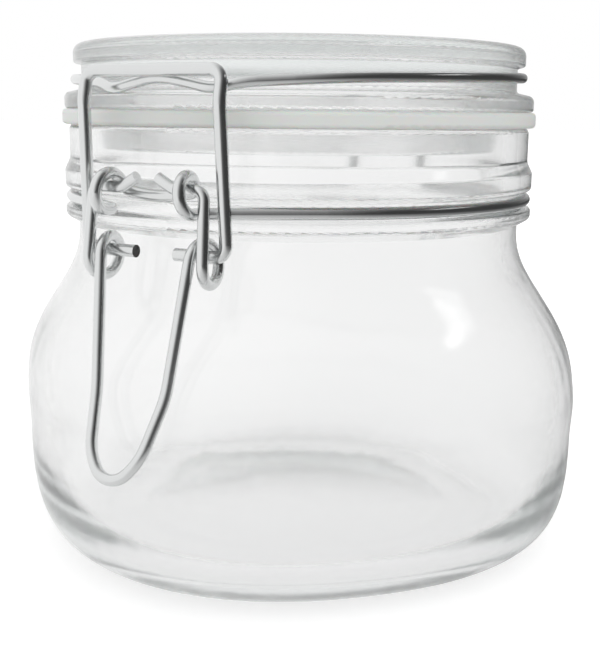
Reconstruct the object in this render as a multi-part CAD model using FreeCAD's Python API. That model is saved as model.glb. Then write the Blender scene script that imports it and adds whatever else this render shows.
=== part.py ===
import FreeCAD, Part

import math
import os

# Clip-top storage jar, closed. Millimetres, +Z up, the jar's axis on Z, its base on z = 0.
# The clasp faces -Y and the lid's hinge +Y.

# Wires
RING_WIRE_D = 2.1        # round the neck
HOOP_WIRE_D = 1.9        # round the lid
STIRRUP_WIRE_D = 2.2
LEVER_WIRE_D = 2.0

# Glass body
BASE_R = 38.0            # flat of the base, before the heel begins
HEEL_R = 55.5            # half width at the top of the heel
HEEL_H = 23.0
HEEL_POWER = 3.2         # how square the heel's curve is
BELLY_R = 55.8           # half width where the body is widest
BELLY_Z = 30.0
WAIST_R = 44.7
WAIST_Z = 63.2
SHOULDER_SKEW = 1.5
SHOULDER_POWER = 1.37
BODY_SQUARE = 2.25       # superellipse power of the body's plan; 2 is a circle
WALL = 3.0
FLOOR_Z = 4.0
FLOOR_R = 35.0
INNER_HEEL_Z = 24.0
INNER_HEEL_POWER = 2.9
PUSH_UP_R = 33.0         # shallow hollow under the base
PUSH_UP_H = 1.3

# Neck
NECK_R = 46.2
BEAD_R = 47.2
GROOVE_R = 44.9
MOUTH_R = 41.5
LIP_Z = 82.9
LIP_ROUND = 0.9

# Gasket
GASKET_IN_R = 41.2
GASKET_OUT_R = 47.4
GASKET_Z0 = 82.95
GASKET_Z1 = 85.9

# Lid
LID_SEAT_Z = 85.95
LID_TOP_Z = 98.3
LID_TOP_R = 45.0
FLANGE_R = 46.9
LID_GROOVE_R = 43.5
PLUG_R = 40.6
PLUG_END_R = 39.5
PLUG_Z = 78.4
CEILING_Z = 91.6
DISH_R = 36.0
DISH_H = 1.6

# Neck ring wire
RING_R = 46.0
RING_Z = 69.1
COIL_R = 3.1             # wire centre to coil centre
COIL_OUT = 52.0          # coil centre from the jar's axis, along -Y
COIL_X0 = 9.0            # where the ring enters the coil
COIL_X1 = 7.5            # where the bridge leaves it
COIL_END = 150.0         # degrees round the coil
BRIDGE_OUT = 48.55
BRIDGE_DROOP = 0.8

# Hinge at the back
HINGE_Y = 51.5
HINGE_Z = 80.0
HINGE_COIL_R = 2.95
HINGE_COIL_X0 = 9.4
HINGE_COIL_X1 = 7.15
HINGE_PIN_X = 4.5
HINGE_PIN_Z = 80.65      # the lid pulls the pins up in their eyes

# Lid hoop wire
HOOP_R = 44.5
HOOP_Z = 92.2
HOOP_TILT = 1.4          # degrees, lower at the clasp
HOOP_LEG_X = 11.8
NOSE_OUT = 48.3          # the hoop's nose, under the stirrup's bar
NOSE_Z = 91.0
NOSE_FOOT = (10.2, 47.4, 89.15)  # x, distance out from the axis, z
NOSE_SIDE = (14.2, 45.3, 90.4)
NOSE_ANGLE = 24.0        # degrees round the hoop where the nose begins

# Lever
LEVER_PIN_Z = 73.05
LEVER_PIN_END = 2.1
LEVER_PIN_RISE = 1.8     # of the pins' cut ends, between the coils
LEVER_PIN_BEND_X = 5.4
LINK_X = 11.2
EYE_OUT = 50.0
EYE_Z = 61.0
EYE_R = 3.4
EYE_X1 = 9.0
EYE_X2 = 11.8
ARM_BEND = (7.1, 57.6, 39.5)     # x, distance out from the axis, z
HANDLE_SIDE = (5.2, 62.2, 29.8)
HANDLE_TIP = (2.0, 63.9, 26.1)

# Stirrup
STIRRUP_PIN_Z = 62.1
STIRRUP_PIN_END = 4.1
STIRRUP_X = 13.6
STIRRUP_FOOT_X = 14.1
BAR_ANGLE = 32.0         # degrees above level, seen from the hoop
BAR_GAP = 0.15
SHOULDER_OUT = 51.1
SHOULDER_Z = 87.4

ROUND = -1             # mark of a corner in a smooth curve

V = FreeCAD.Vector


def out(x, u, z):
    """A point at distance u from the axis on the clasp's side."""
    return V(x, -u, z)


def superellipse(a, n, z, count=48):
    """A closed curve of half width a at height z, its flats turned 45 degrees from X and Y."""
    points = []
    for i in range(count):
        t = 2 * math.pi * i / count
        c = abs(math.cos(t))
        s = abs(math.sin(t))
        r = a * (c ** n + s ** n) ** (-1 / n)
        points.append(V(r * math.cos(t + math.pi / 4), r * math.sin(t + math.pi / 4), z))
    curve = Part.BSplineCurve()
    curve.interpolate(Points=points, PeriodicFlag=True)
    return Part.Wire([curve.toShape()])


def heel_radius(z, r0, r1, z0, z1, power):
    u = max(0.0, 1 - (z - z0) / (z1 - z0))
    return r0 + (r1 - r0) * max(0.0, 1 - u ** power) ** (1 / power)


def shoulder_radius(z, r0, r1, z0, z1):
    t = ((z - z0) / (z1 - z0)) ** SHOULDER_SKEW
    s = max(0.0, 1 - (3 * t ** 2 - 2 * t ** 3))
    return r1 + (r0 - r1) * s ** SHOULDER_POWER


def squareness(z):
    """The plan is a rounded square up to the belly and eases to a circle at the waist."""
    if z <= BELLY_Z:
        return BODY_SQUARE
    t = min(1.0, (z - BELLY_Z) / (WAIST_Z - 3 - BELLY_Z))
    return 2 + (BODY_SQUARE - 2) * (1 - t) ** 1.5


def blend_heights(z0, z1, steps):
    return [z0 + (z1 - z0) * (1 - math.cos(math.pi / 2 * i / steps)) for i in range(steps)]


def above(z, solid):
    """The part of a solid above height z, which gives it a true flat there."""
    return solid.common(Part.makeBox(200, 200, 200, V(-100, -100, z)))


def body_outside():
    sections = []
    for z in blend_heights(0.0, HEEL_H, 10):
        a = heel_radius(z, BASE_R, HEEL_R, 0.0, HEEL_H, HEEL_POWER)
        sections.append(superellipse(a, squareness(z), z))
    sections.append(superellipse(HEEL_R, BODY_SQUARE, HEEL_H))
    steps = 12
    for i in range(steps):
        z = BELLY_Z + (WAIST_Z - BELLY_Z) * i / steps
        a = shoulder_radius(z, BELLY_R, WAIST_R, BELLY_Z, WAIST_Z)
        sections.append(superellipse(a, squareness(z), z))
    for z in (WAIST_Z, WAIST_Z + 1.2, WAIST_Z + 2.4):
        sections.append(superellipse(WAIST_R, 2.0, z))
    return above(0.0, Part.makeLoft(sections, True, False))


def body_inside():
    sections = []
    for z in blend_heights(FLOOR_Z, INNER_HEEL_Z, 10):
        a = heel_radius(z, FLOOR_R, HEEL_R - WALL, FLOOR_Z, INNER_HEEL_Z, INNER_HEEL_POWER)
        sections.append(superellipse(a, squareness(z), z))
    sections.append(superellipse(HEEL_R - WALL, BODY_SQUARE, INNER_HEEL_Z))
    steps = 11
    top = WAIST_Z - 1
    for i in range(steps):
        z = BELLY_Z + (top - BELLY_Z) * i / steps
        a = shoulder_radius(z, BELLY_R - WALL, MOUTH_R, BELLY_Z, top)
        sections.append(superellipse(a, squareness(z), z))
    for z in (top, top + 2, 68.0, 73.0, 78.0, LIP_Z, LIP_Z + 1):
        sections.append(superellipse(MOUTH_R, 2.0, z))
    return above(FLOOR_Z, Part.makeLoft(sections, True, False))


def revolved(points):
    """A solid of revolution about Z from (radius, height) pairs; a triple's third value rounds that corner."""
    edges = []
    count = len(points)
    ends = []
    for i, point in enumerate(points):
        p = V(point[0], 0, point[1])
        r = point[2] if len(point) > 2 else 0.0
        if r <= 0:
            ends.append((p, p, None))
            continue
        a = V(points[i - 1][0], 0, points[i - 1][1])
        b = V(points[(i + 1) % count][0], 0, points[(i + 1) % count][1])
        ends.append(rounded_corner(a, p, b, r))
    for i in range(count):
        first, last, middle = ends[i]
        if middle is not None:
            edges.append(Part.Arc(first, middle, last).toShape())
        following = ends[(i + 1) % count][0]
        if last.distanceToPoint(following) > 1e-6:
            edges.append(Part.makeLine(last, following))
    face = Part.Face(Part.Wire(edges))
    return face.revolve(V(0, 0, 0), V(0, 0, 1), 360)


def rounded_corner(a, p, b, r):
    """Where an arc of radius r at the corner p, between a and b, starts and ends, and its middle."""
    to_a = (a - p).normalize()
    to_b = (b - p).normalize()
    half = math.acos(max(-1.0, min(1.0, to_a.dot(to_b)))) / 2
    length = r / math.tan(half)
    middle_way = (to_a + to_b).normalize()
    centre = p + middle_way * (r / math.sin(half))
    return p + to_a * length, p + to_b * length, centre - middle_way * r


def wire(corners, diameter):
    """A round wire along straight runs. Each corner is (point, radius of the bend), the ends have no radius.

    A corner whose radius is ROUND takes half of the shorter side beside it, so a row of them makes a smooth curve.
    """
    points = [corner[0] for corner in corners]
    edges = []
    at = points[0]
    for i in range(1, len(points) - 1):
        before, here, after = points[i - 1], points[i], points[i + 1]
        radius = corners[i][1]
        if radius == ROUND:
            side = min(here.distanceToPoint(before), here.distanceToPoint(after))
            radius = corner_radius(before, here, after, side / 2)
        first, last, middle = rounded_corner(before, here, after, radius)
        if at.distanceToPoint(first) > 0.002:
            edges.append(Part.makeLine(at, first))
        else:
            first = at
        edges.append(Part.Arc(first, middle, last).toShape())
        at = last
    edges.append(Part.makeLine(at, points[-1]))
    circle = Part.Wire([Part.makeCircle(diameter / 2, points[0], points[1] - points[0])])
    return Part.Wire(edges).makePipeShell([circle], True, False)


def corner_radius(a, p, b, length):
    """The radius of the arc that uses up this length of each side of the corner p."""
    to_a = (a - p).normalize()
    to_b = (b - p).normalize()
    return length * math.tan(math.acos(to_a.dot(to_b)) / 2)


def around(place, w0, w1, a0, a1):
    """Corners of a round curve from angle a0 to a1, in degrees, that drifts from w0 to w1 along its axis.

    place(w, c, s) gives the point at w along the axis, c and s being the cosine and sine of the angle.
    """
    count = max(2, round(abs(a1 - a0) / 30))
    outward = 1 / math.cos(math.radians((a1 - a0) / count / 2))
    corners = []
    for i in range(count):
        t = (i + 0.5) / count
        a = math.radians(a0 + (a1 - a0) * t)
        point = place(w0 + (w1 - w0) * t, outward * math.cos(a), outward * math.sin(a))
        corners.append((point, ROUND))
    return corners


def mirrored(corners):
    """The corners of a half that begins on the plane x = 0, joined to those of its mirror image."""
    other = [(V(-p.x, p.y, p.z), r) for p, r in corners[1:]]
    return other[::-1] + corners[1:]


def make_jar():
    outside = body_outside()
    neck = revolved([
        (30.0, 60.0),
        (WAIST_R - 0.6, 60.0),
        (WAIST_R - 0.6, WAIST_Z + 0.6, 1.0),
        (BEAD_R, 65.6, 1.0),
        (BEAD_R, 67.3, 0.7),
        (GROOVE_R, 67.9, 0.6),
        (GROOVE_R, 70.35, 0.6),
        (BEAD_R, 71.0, 0.8),
        (BEAD_R, 74.3, 1.2),
        (NECK_R, 76.4, 2.0),
        (NECK_R, LIP_Z, LIP_ROUND),
        (30.0, LIP_Z),
    ])
    glass = outside.fuse(neck).cut(body_inside())
    lip_edge = revolved([
        (MOUTH_R - 1.0, LIP_Z - LIP_ROUND),
        (MOUTH_R + 0.001, LIP_Z - LIP_ROUND),
        (MOUTH_R + LIP_ROUND, LIP_Z + 0.5),
        (MOUTH_R - 1.0, LIP_Z + 0.5),
    ])
    glass = glass.cut(lip_edge)
    ball_r = (PUSH_UP_R ** 2 + PUSH_UP_H ** 2) / (2 * PUSH_UP_H)
    hollow = Part.makeSphere(ball_r, V(0, 0, PUSH_UP_H - ball_r))
    return glass.cut(hollow)


def make_gasket():
    return revolved([
        (GASKET_IN_R, GASKET_Z0, 0.4),
        (GASKET_OUT_R, GASKET_Z0, 0.8),
        (GASKET_OUT_R, GASKET_Z1, 0.8),
        (GASKET_IN_R, GASKET_Z1, 0.4),
    ])


def make_lid():
    return revolved([
        (0.0, CEILING_Z),
        (34.0, CEILING_Z, 3.0),
        (36.0, PLUG_Z, 0.8),
        (PLUG_END_R, PLUG_Z, 0.8),
        (PLUG_R, LID_SEAT_Z - 2.0, 0.5),
        (PLUG_R, LID_SEAT_Z),
        (FLANGE_R, LID_SEAT_Z, 0.7),
        (FLANGE_R, 88.9, 1.3),
        (LID_GROOVE_R, 89.7, 0.5),
        (LID_GROOVE_R, 94.45, 0.5),
        (LID_TOP_R, 94.75, 0.4),
        (LID_TOP_R, LID_TOP_Z, 1.7),
        (DISH_R + 2.5, LID_TOP_Z, 1.5),
        (DISH_R, LID_TOP_Z - DISH_H, 2.0),
        (0.0, LID_TOP_Z - DISH_H),
    ])


def tangent_angle(x, y, r):
    """The angle at the centre, from the Y axis, where the line from (x, y) touches the circle of radius r."""
    return math.degrees(math.atan2(x, y) + math.acos(r / math.hypot(x, y)))


def ring_place(z, c, s):
    return out(RING_R * s, RING_R * c, z)


def front_coil_place(x, c, s):
    return out(x, COIL_OUT + COIL_R * c, RING_Z + COIL_R + COIL_R * s)


def hinge_coil_place(x, c, s):
    return V(x, HINGE_Y + HINGE_COIL_R * c, HINGE_Z + HINGE_COIL_R * s)


def make_neck_ring():
    # Each half runs from the middle of the front bridge, through a coil and round the neck, to the hinge.
    coil = around(front_coil_place, COIL_X1, COIL_X0, COIL_END, -90.0)
    end = math.radians(COIL_END)
    reach = (COIL_OUT + COIL_R * math.cos(end) - BRIDGE_OUT) / math.sin(end)
    bridge_z = RING_Z + COIL_R + COIL_R * math.sin(end) + reach * math.cos(end)
    corners = [(out(0, BRIDGE_OUT, bridge_z - BRIDGE_DROOP), 0)]
    corners.append((out(2.4, BRIDGE_OUT, bridge_z - BRIDGE_DROOP), ROUND))
    corners.append((out(COIL_X1 - 0.3, BRIDGE_OUT, bridge_z), 1.6))
    corners += coil
    bend = out(COIL_X0 + 0.2, COIL_OUT - 2.4, RING_Z)
    corners.append((bend, 2.2))
    first = tangent_angle(bend.x, -bend.y, RING_R)
    foot = V(HINGE_COIL_X0 + 0.8, HINGE_Y - HINGE_COIL_R, RING_Z)
    last = 180.0 - tangent_angle(foot.x, foot.y, RING_R)
    corners += around(ring_place, RING_Z, RING_Z, first, last)
    corners.append((foot, 2.0))
    corners += around(hinge_coil_place, HINGE_COIL_X0, HINGE_COIL_X1, 180.0, -150.0)
    tail = math.radians(-150.0)
    tip = hinge_coil_place(HINGE_COIL_X1 - 0.1, math.cos(tail), math.sin(tail))
    corners.append((tip + V(0, -math.sin(tail), math.cos(tail)) * -1.0, 0))
    return wire(mirrored(corners), RING_WIRE_D)


def hoop_place(z, c, s):
    """A point of the lid hoop, lower at the clasp."""
    tilt = math.radians(HOOP_TILT)
    y = -HOOP_R * c
    return V(HOOP_R * s, y * math.cos(tilt), z + y * math.sin(tilt))


def make_hoop():
    knee = V(HOOP_LEG_X + 3.2, HINGE_Y - 6.3, 0)
    last = 180.0 - tangent_angle(knee.x, knee.y, HOOP_R)
    knee.z = HOOP_Z + knee.y * math.sin(math.radians(HOOP_TILT))
    corners = [(out(0, NOSE_OUT, NOSE_Z), 0)]
    corners.append((out(1.6, NOSE_OUT, NOSE_Z), ROUND))
    corners.append((out(*NOSE_FOOT), ROUND))
    corners.append((out(*NOSE_SIDE), ROUND))
    corners += around(hoop_place, HOOP_Z, HOOP_Z, NOSE_ANGLE, last)
    corners.append((knee, 5.0))
    corners.append((V(HOOP_LEG_X, HINGE_Y, knee.z + 0.3), 3.0))
    corners.append((V(HOOP_LEG_X, HINGE_Y, HINGE_PIN_Z), 1.6))
    corners.append((V(HINGE_PIN_X, HINGE_Y, HINGE_PIN_Z), 0))
    return wire(mirrored(corners), HOOP_WIRE_D)


def eye_place(x, c, s):
    return out(x, EYE_OUT + EYE_R * c, EYE_Z + EYE_R * s)


def make_lever():
    # Each half runs from the bottom of the handle, once round the eye and up the link to its pin in the neck coil.
    bend = out(*ARM_BEND)
    tip = out(*HANDLE_TIP)
    away = math.hypot(ARM_BEND[1] - EYE_OUT, ARM_BEND[2] - EYE_Z)
    lean = math.atan2(ARM_BEND[2] - EYE_Z, ARM_BEND[1] - EYE_OUT)
    arrive = math.degrees(lean + math.acos(EYE_R / away))
    away = math.hypot(COIL_OUT - EYE_OUT, LEVER_PIN_Z - EYE_Z)
    lean = math.atan2(LEVER_PIN_Z - EYE_Z, COIL_OUT - EYE_OUT)
    leave = math.degrees(lean - math.acos(EYE_R / away))
    corners = [(V(0, tip.y, tip.z), 0), (tip, ROUND), (out(*HANDLE_SIDE), ROUND), (bend, 18.0)]
    corners += around(eye_place, EYE_X1, EYE_X2, arrive, leave + 360.0)
    corners.append((out(LINK_X, COIL_OUT, LEVER_PIN_Z), 1.7))
    corners.append((out(LEVER_PIN_BEND_X, COIL_OUT, LEVER_PIN_Z), 3.0))
    corners.append((out(LEVER_PIN_END, COIL_OUT, LEVER_PIN_Z + LEVER_PIN_RISE), 0))
    return wire(mirrored(corners), LEVER_WIRE_D)


def make_stirrup():
    apart = (HOOP_WIRE_D + STIRRUP_WIRE_D) / 2 + BAR_GAP
    bar_out = NOSE_OUT + apart * math.cos(math.radians(BAR_ANGLE))
    bar_z = NOSE_Z + apart * math.sin(math.radians(BAR_ANGLE))
    corners = [
        (out(0, bar_out, bar_z), 0),
        (out(STIRRUP_X, bar_out, bar_z), 2.2),
        (out(STIRRUP_X, SHOULDER_OUT, SHOULDER_Z), 6.0),
        (out(STIRRUP_FOOT_X, EYE_OUT, STIRRUP_PIN_Z), 2.2),
        (out(STIRRUP_PIN_END, EYE_OUT, STIRRUP_PIN_Z), 0),
    ]
    return wire(mirrored(corners), STIRRUP_WIRE_D)


parts = {
    "jar": make_jar(),
    "neck_ring": make_neck_ring(),
    "gasket": make_gasket(),
    "lid": make_lid(),
    "lid_hoop": make_hoop(),
    "lever": make_lever(),
    "stirrup": make_stirrup(),
}

os.makedirs("parts", exist_ok=True)
for name, shape in parts.items():
    solid = shape.Solids[0] if len(shape.Solids) == 1 else shape
    solid.exportStep("parts/" + name + ".step")
    box = solid.BoundBox
    print(name, solid.ShapeType, "solids", len(shape.Solids), "faces", len(solid.Faces), "valid", solid.isValid(),
          "volume", round(solid.Volume, 1),
          "x", round(box.XMin, 2), round(box.XMax, 2),
          "y", round(box.YMin, 2), round(box.YMax, 2),
          "z", round(box.ZMin, 2), round(box.ZMax, 2))
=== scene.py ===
import math

import bpy
from mathutils import Matrix, Vector

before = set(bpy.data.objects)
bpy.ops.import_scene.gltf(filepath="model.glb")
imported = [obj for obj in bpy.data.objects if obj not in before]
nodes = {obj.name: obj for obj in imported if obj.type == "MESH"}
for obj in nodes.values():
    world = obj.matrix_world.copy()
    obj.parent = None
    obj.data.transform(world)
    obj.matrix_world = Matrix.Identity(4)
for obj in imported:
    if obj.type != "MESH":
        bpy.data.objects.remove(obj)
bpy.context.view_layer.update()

# Camera, in metres and degrees
CAMERA_AZIMUTH = 28.5
CAMERA_DISTANCE = 0.2240     # from the jar's axis
CAMERA_HEIGHT = 0.0855
CAMERA_ASIDE = 0.0006
CAMERA_PITCH = 11.23
CAMERA_ROLL = 0.57
CAMERA_LENS = 64.4

GLASS_IOR = 1.52
GLASS_TINT = (0.40, 0.56, 0.53, 1)
JAR_ROUGHNESS = 0.10
JAR_DENSITY = 2.6
LID_ROUGHNESS = 0.16
LID_DENSITY = 1.8

# The world and floor are painted darker, for metal only, this way from the jar: right of the
# clasp, and a little back and down. This is a painted dark reflection.
PAINTED_DARK_SIDE = Vector((0.93, 0.28, -0.08)).normalized()

# Painted dark reflection: along the painted dark side, how bright metal sees the floor, from the
# fade's start to its end in metres, and the world, from the far side (0) to the dark side (1)
PAINTED_FADE_START = -0.10
PAINTED_FADE_END = 0.25
FLOOR_PAINTED_FADE = [(0.0, 1.0), (0.3, 0.75), (0.6, 0.25), (1.0, 0.05)]
WORLD_PAINTED_FADE = [(0.30, 1.0), (0.50, 0.62), (0.66, 0.20), (0.84, 0.04)]

# The floor's paper and its glow, which brings the lit paper up to white
FLOOR_GREY = 0.80
FLOOR_GLOW = 0.56
THROUGH_GLASS_GREY = 0.30
THROUGH_GLASS_GLOW = 0.71
FLOOR_HALF = 6.0
FLOOR_DROP = 0.0001          # keeps the floor out of the jar's base

# The world's strength as light on the object, and as seen through glass
WORLD_LIGHT = 0.82
WORLD_THROUGH_GLASS = 0.94

# The strip light that makes the highlight on the shoulder
STRIP_PLACE = (0.59, 0.27, 0.52)
STRIP_TARGET = (0.04, -0.02, 0.05)
STRIP_SIZE = (0.30, 0.05)
STRIP_WATTS = 0.10

# The sawn ends of the pins face along X this squarely, within this distance of x = 0, above this
# height
PIN_END_NORMAL = 0.9
PIN_END_X = 0.0045
PIN_LOWEST_Z = 0.060


# Node helpers


def new_material(name):
    material = bpy.data.materials.new(name)
    material.use_nodes = True
    tree = material.node_tree
    tree.nodes.clear()
    output = tree.nodes.new("ShaderNodeOutputMaterial")
    return material, tree, output


def add(tree, kind, **values):
    """A new node; values name its properties or its input sockets."""
    node = tree.nodes.new(kind)
    for key, value in values.items():
        if hasattr(node, key):
            setattr(node, key, value)
        else:
            node.inputs[key.replace("_", " ")].default_value = value
    return node


def link(tree, start, end):
    tree.links.new(start, end)


def ramp(tree, factor, stops):
    """A colour ramp of grey levels: stops are (position, grey)."""
    node = tree.nodes.new("ShaderNodeValToRGB")
    elements = node.color_ramp.elements
    while len(elements) < len(stops):
        elements.new(0.5)
    for element, (position, grey) in zip(elements, stops):
        element.position = position
        element.color = (grey, grey, grey, 1)
    link(tree, factor, node.inputs["Fac"])
    return node.outputs["Color"]


def choose(tree, factor, off, on):
    """The shader off where the factor is 0, and on where it is 1."""
    node = add(tree, "ShaderNodeMixShader")
    link(tree, factor, node.inputs["Fac"])
    link(tree, off, node.inputs[1])
    link(tree, on, node.inputs[2])
    return node.outputs["Shader"]


def both(tree, first, second):
    """1 where both values are 1."""
    node = add(tree, "ShaderNodeMath", operation="MULTIPLY")
    link(tree, first, node.inputs[0])
    link(tree, second, node.inputs[1])
    return node.outputs["Value"]


def along_painted_dark_side(tree, place):
    """How far the place lies towards the side where reflections are painted dark."""
    node = add(tree, "ShaderNodeVectorMath", operation="DOT_PRODUCT")
    node.inputs[1].default_value = PAINTED_DARK_SIDE
    link(tree, place, node.inputs[0])
    return node.outputs["Value"]


def absolute(tree, value):
    node = add(tree, "ShaderNodeMath", operation="ABSOLUTE")
    link(tree, value, node.inputs[0])
    return node.outputs["Value"]


def limit(tree, value, operation, bound):
    """1 where the value is on the named side of the bound, 0 elsewhere."""
    node = add(tree, "ShaderNodeMath", operation=operation)
    link(tree, value, node.inputs[0])
    node.inputs[1].default_value = bound
    return node.outputs["Value"]


# Materials


def glass(name, roughness, density):
    """Clear soda-lime glass, a little soft as pressed glass is; density is its faint green's."""
    material, tree, output = new_material(name)
    shader = add(tree, "ShaderNodeBsdfPrincipled")
    shader.inputs["Base Color"].default_value = (1, 1, 1, 1)
    shader.inputs["Roughness"].default_value = roughness
    shader.inputs["IOR"].default_value = GLASS_IOR
    shader.inputs["Transmission Weight"].default_value = 1.0
    link(tree, shader.outputs["BSDF"], output.inputs["Surface"])
    tint = add(tree, "ShaderNodeVolumeAbsorption", Density=density)
    tint.inputs["Color"].default_value = GLASS_TINT
    link(tree, tint.outputs["Volume"], output.inputs["Volume"])
    return material


def rubber():
    material, tree, output = new_material("gasket rubber")
    shader = add(tree, "ShaderNodeBsdfPrincipled")
    shader.inputs["Roughness"].default_value = 0.42
    shader.inputs["Subsurface Weight"].default_value = 0.35
    shader.inputs["Subsurface Scale"].default_value = 0.003
    place = add(tree, "ShaderNodeTexCoord")
    cloud = add(tree, "ShaderNodeTexNoise", Scale=60.0, Detail=3.0)
    link(tree, place.outputs["Object"], cloud.inputs["Vector"])
    mix = add(tree, "ShaderNodeMix", data_type="RGBA")
    mix.inputs["A"].default_value = (0.88, 0.90, 0.87, 1)
    mix.inputs["B"].default_value = (0.92, 0.94, 0.91, 1)
    link(tree, cloud.outputs["Fac"], mix.inputs["Factor"])
    link(tree, mix.outputs["Result"], shader.inputs["Base Color"])
    link(tree, shader.outputs["BSDF"], output.inputs["Surface"])
    return material


def steel():
    """Smooth drawn wire; the sawn ends of the pins are dull and dark."""
    material, tree, output = new_material("satin steel wire")
    drawn = add(tree, "ShaderNodeBsdfPrincipled", Metallic=1.0)
    drawn.inputs["Base Color"].default_value = (0.74, 0.75, 0.75, 1)
    place = add(tree, "ShaderNodeTexCoord")
    cloud = add(tree, "ShaderNodeTexNoise", Scale=120.0, Detail=2.0)
    link(tree, place.outputs["Object"], cloud.inputs["Vector"])
    rough = ramp(tree, cloud.outputs["Fac"], [(0.3, 0.20), (0.7, 0.26)])
    link(tree, rough, drawn.inputs["Roughness"])
    sawn = add(tree, "ShaderNodeBsdfPrincipled", Metallic=1.0, Roughness=0.5)
    sawn.inputs["Base Color"].default_value = (0.10, 0.10, 0.10, 1)
    at = add(tree, "ShaderNodeSeparateXYZ")
    link(tree, place.outputs["Object"], at.inputs["Vector"])
    facing = add(tree, "ShaderNodeSeparateXYZ")
    link(tree, place.outputs["Normal"], facing.inputs["Vector"])
    across = limit(tree, absolute(tree, facing.outputs["X"]), "GREATER_THAN", PIN_END_NORMAL)
    inward = limit(tree, absolute(tree, at.outputs["X"]), "LESS_THAN", PIN_END_X)
    high = limit(tree, at.outputs["Z"], "GREATER_THAN", PIN_LOWEST_Z)
    ends = both(tree, both(tree, across, inward), high)
    surface = choose(tree, ends, drawn.outputs["BSDF"], sawn.outputs["BSDF"])
    link(tree, surface, output.inputs["Surface"])
    return material


def glowing(tree, grey, strength):
    """Paper of this grey that also glows."""
    paper = add(tree, "ShaderNodeBsdfDiffuse")
    paper.inputs["Color"].default_value = (grey, grey, grey, 1)
    glow = add(tree, "ShaderNodeEmission", Strength=strength)
    total = add(tree, "ShaderNodeAddShader")
    link(tree, paper.outputs["BSDF"], total.inputs[0])
    link(tree, glow.outputs["Emission"], total.inputs[1])
    return total.outputs["Shader"]


def floor_paper():
    """White paper, at full white to the camera outside the shadow, and nearly so through glass.

    Metal sees it fade into painted shade towards the side where reflections are painted dark, a
    painted dark reflection. A ray bent by glass counts as a glossy ray as well as a transmission
    ray, so transmission is chosen over glossy.
    """
    material, tree, output = new_material("floor paper")
    paper = add(tree, "ShaderNodeBsdfDiffuse")
    paper.inputs["Color"].default_value = (FLOOR_GREY, FLOOR_GREY, FLOOR_GREY, 1)
    path = add(tree, "ShaderNodeLightPath")
    place = add(tree, "ShaderNodeTexCoord")
    spread = add(tree, "ShaderNodeMapRange")
    spread.inputs["From Min"].default_value = PAINTED_FADE_START
    spread.inputs["From Max"].default_value = PAINTED_FADE_END
    link(tree, along_painted_dark_side(tree, place.outputs["Object"]), spread.inputs["Value"])
    # Painted dark reflection: metal sees the floor painted darker towards the dark side
    painted_fade = add(tree, "ShaderNodeEmission", Strength=1.0)
    link(tree, ramp(tree, spread.outputs["Result"], FLOOR_PAINTED_FADE), painted_fade.inputs["Color"])
    painted_mirror = choose(tree, path.outputs["Is Glossy Ray"],
                      paper.outputs["BSDF"], painted_fade.outputs["Emission"])
    beyond = choose(tree, path.outputs["Is Transmission Ray"],
                    painted_mirror, glowing(tree, THROUGH_GLASS_GREY, THROUGH_GLASS_GLOW))
    direct = choose(tree, path.outputs["Is Camera Ray"],
                    beyond, glowing(tree, FLOOR_GREY, FLOOR_GLOW))
    link(tree, direct, output.inputs["Surface"])
    return material


def paint(node, material):
    mesh = nodes[node].data
    mesh.materials.clear()
    mesh.materials.append(material)


# Stage


def make_floor():
    half = FLOOR_HALF
    points = [(-half, -half, 0), (half, -half, 0), (half, half, 0), (-half, half, 0)]
    mesh = bpy.data.meshes.new("floor")
    mesh.from_pydata(points, [], [(0, 1, 2, 3)])
    mesh.materials.append(floor_paper())
    floor = bpy.data.objects.new("floor", mesh)
    floor.location.z = -FLOOR_DROP
    bpy.context.scene.collection.objects.link(floor)


def backdrop(tree, strength):
    node = add(tree, "ShaderNodeBackground", Strength=strength)
    node.inputs["Color"].default_value = (1, 1, 1, 1)
    return node.outputs["Background"]


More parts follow.
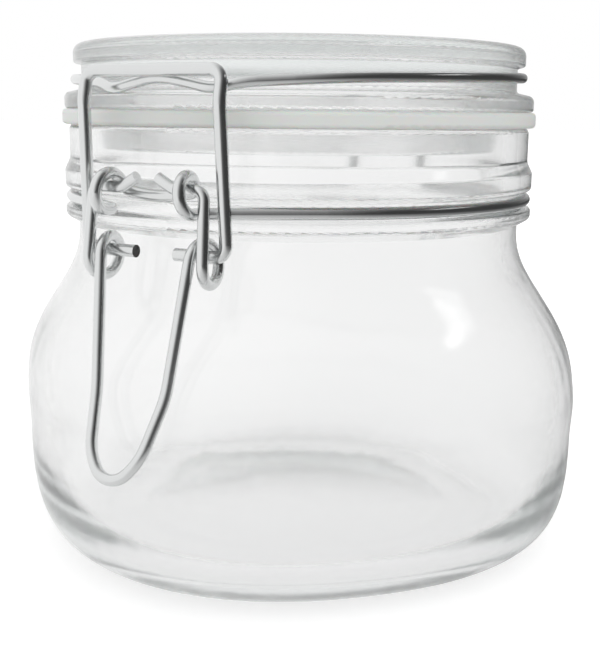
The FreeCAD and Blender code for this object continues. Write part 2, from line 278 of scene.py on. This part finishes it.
def make_world():
    """A white studio, which metal sees painted darker on the right of the clasp: a painted dark
    reflection.
    """
    world = bpy.data.worlds.new("studio")
    bpy.context.scene.world = world
    world.use_nodes = True
    tree = world.node_tree
    tree.nodes.clear()
    output = tree.nodes.new("ShaderNodeOutputWorld")
    path = add(tree, "ShaderNodeLightPath")
    place = add(tree, "ShaderNodeTexCoord")
    spread = add(tree, "ShaderNodeMapRange")
    spread.inputs["From Min"].default_value = -1.0
    link(tree, along_painted_dark_side(tree, place.outputs["Generated"]), spread.inputs["Value"])
    # Painted dark reflection: glossy rays see the world painted darker towards the dark side
    painted_reflection = add(tree, "ShaderNodeBackground")
    link(tree, ramp(tree, spread.outputs["Result"], WORLD_PAINTED_FADE), painted_reflection.inputs["Color"])
    metal = choose(tree, path.outputs["Is Glossy Ray"],
                   backdrop(tree, WORLD_LIGHT), painted_reflection.outputs["Background"])
    through = choose(tree, path.outputs["Is Transmission Ray"],
                     metal, backdrop(tree, WORLD_THROUGH_GLASS))
    seen = choose(tree, path.outputs["Is Camera Ray"], through, backdrop(tree, 1.0))
    link(tree, seen, output.inputs["Surface"])


def make_lamp(name, place, target, size, watts):
    data = bpy.data.lights.new(name, "AREA")
    data.shape = "RECTANGLE"
    data.size, data.size_y = size
    data.energy = watts
    lamp = bpy.data.objects.new(name, data)
    lamp.location = place
    lamp.rotation_euler = (Vector(target) - Vector(place)).to_track_quat("-Z", "Y").to_euler()
    bpy.context.scene.collection.objects.link(lamp)


def make_camera():
    azimuth = math.radians(CAMERA_AZIMUTH)
    pitch = math.radians(CAMERA_PITCH)
    right = Vector((math.cos(azimuth), math.sin(azimuth), 0))
    level = Vector((-math.sin(azimuth), math.cos(azimuth), 0))
    forward = level * math.cos(pitch) - Vector((0, 0, math.sin(pitch)))
    up = right.cross(forward)
    turn = Matrix((right, up, -forward)).transposed()
    roll = Matrix.Rotation(math.radians(CAMERA_ROLL), 3, "Z")
    place = right * CAMERA_ASIDE - level * CAMERA_DISTANCE
    place.z = CAMERA_HEIGHT
    data = bpy.data.cameras.new("camera")
    data.sensor_fit = "HORIZONTAL"
    data.sensor_width = 36.0
    data.lens = CAMERA_LENS
    data.clip_start = 0.005
    camera = bpy.data.objects.new("camera", data)
    camera.matrix_world = Matrix.Translation(place) @ (turn @ roll).to_4x4()
    bpy.context.scene.collection.objects.link(camera)
    bpy.context.scene.camera = camera


# Making

clear = glass("clear glass", JAR_ROUGHNESS, JAR_DENSITY)
lid_clear = glass("clear lid glass", LID_ROUGHNESS, LID_DENSITY)
wire = steel()
paint("jar", clear)
paint("lid", lid_clear)
paint("gasket", rubber())
for name in ("neck_ring", "lid_hoop", "lever", "stirrup"):
    paint(name, wire)

make_floor()
make_world()
make_lamp("strip light", STRIP_PLACE, STRIP_TARGET, STRIP_SIZE, STRIP_WATTS)
make_camera()

# Enough bounces for light to cross both walls of the jar, the lid and its plug
cycles = bpy.context.scene.cycles
cycles.max_bounces = 32
cycles.glossy_bounces = 20
cycles.transmission_bounces = 28
bpy.context.scene.view_settings.view_transform = "Standard"
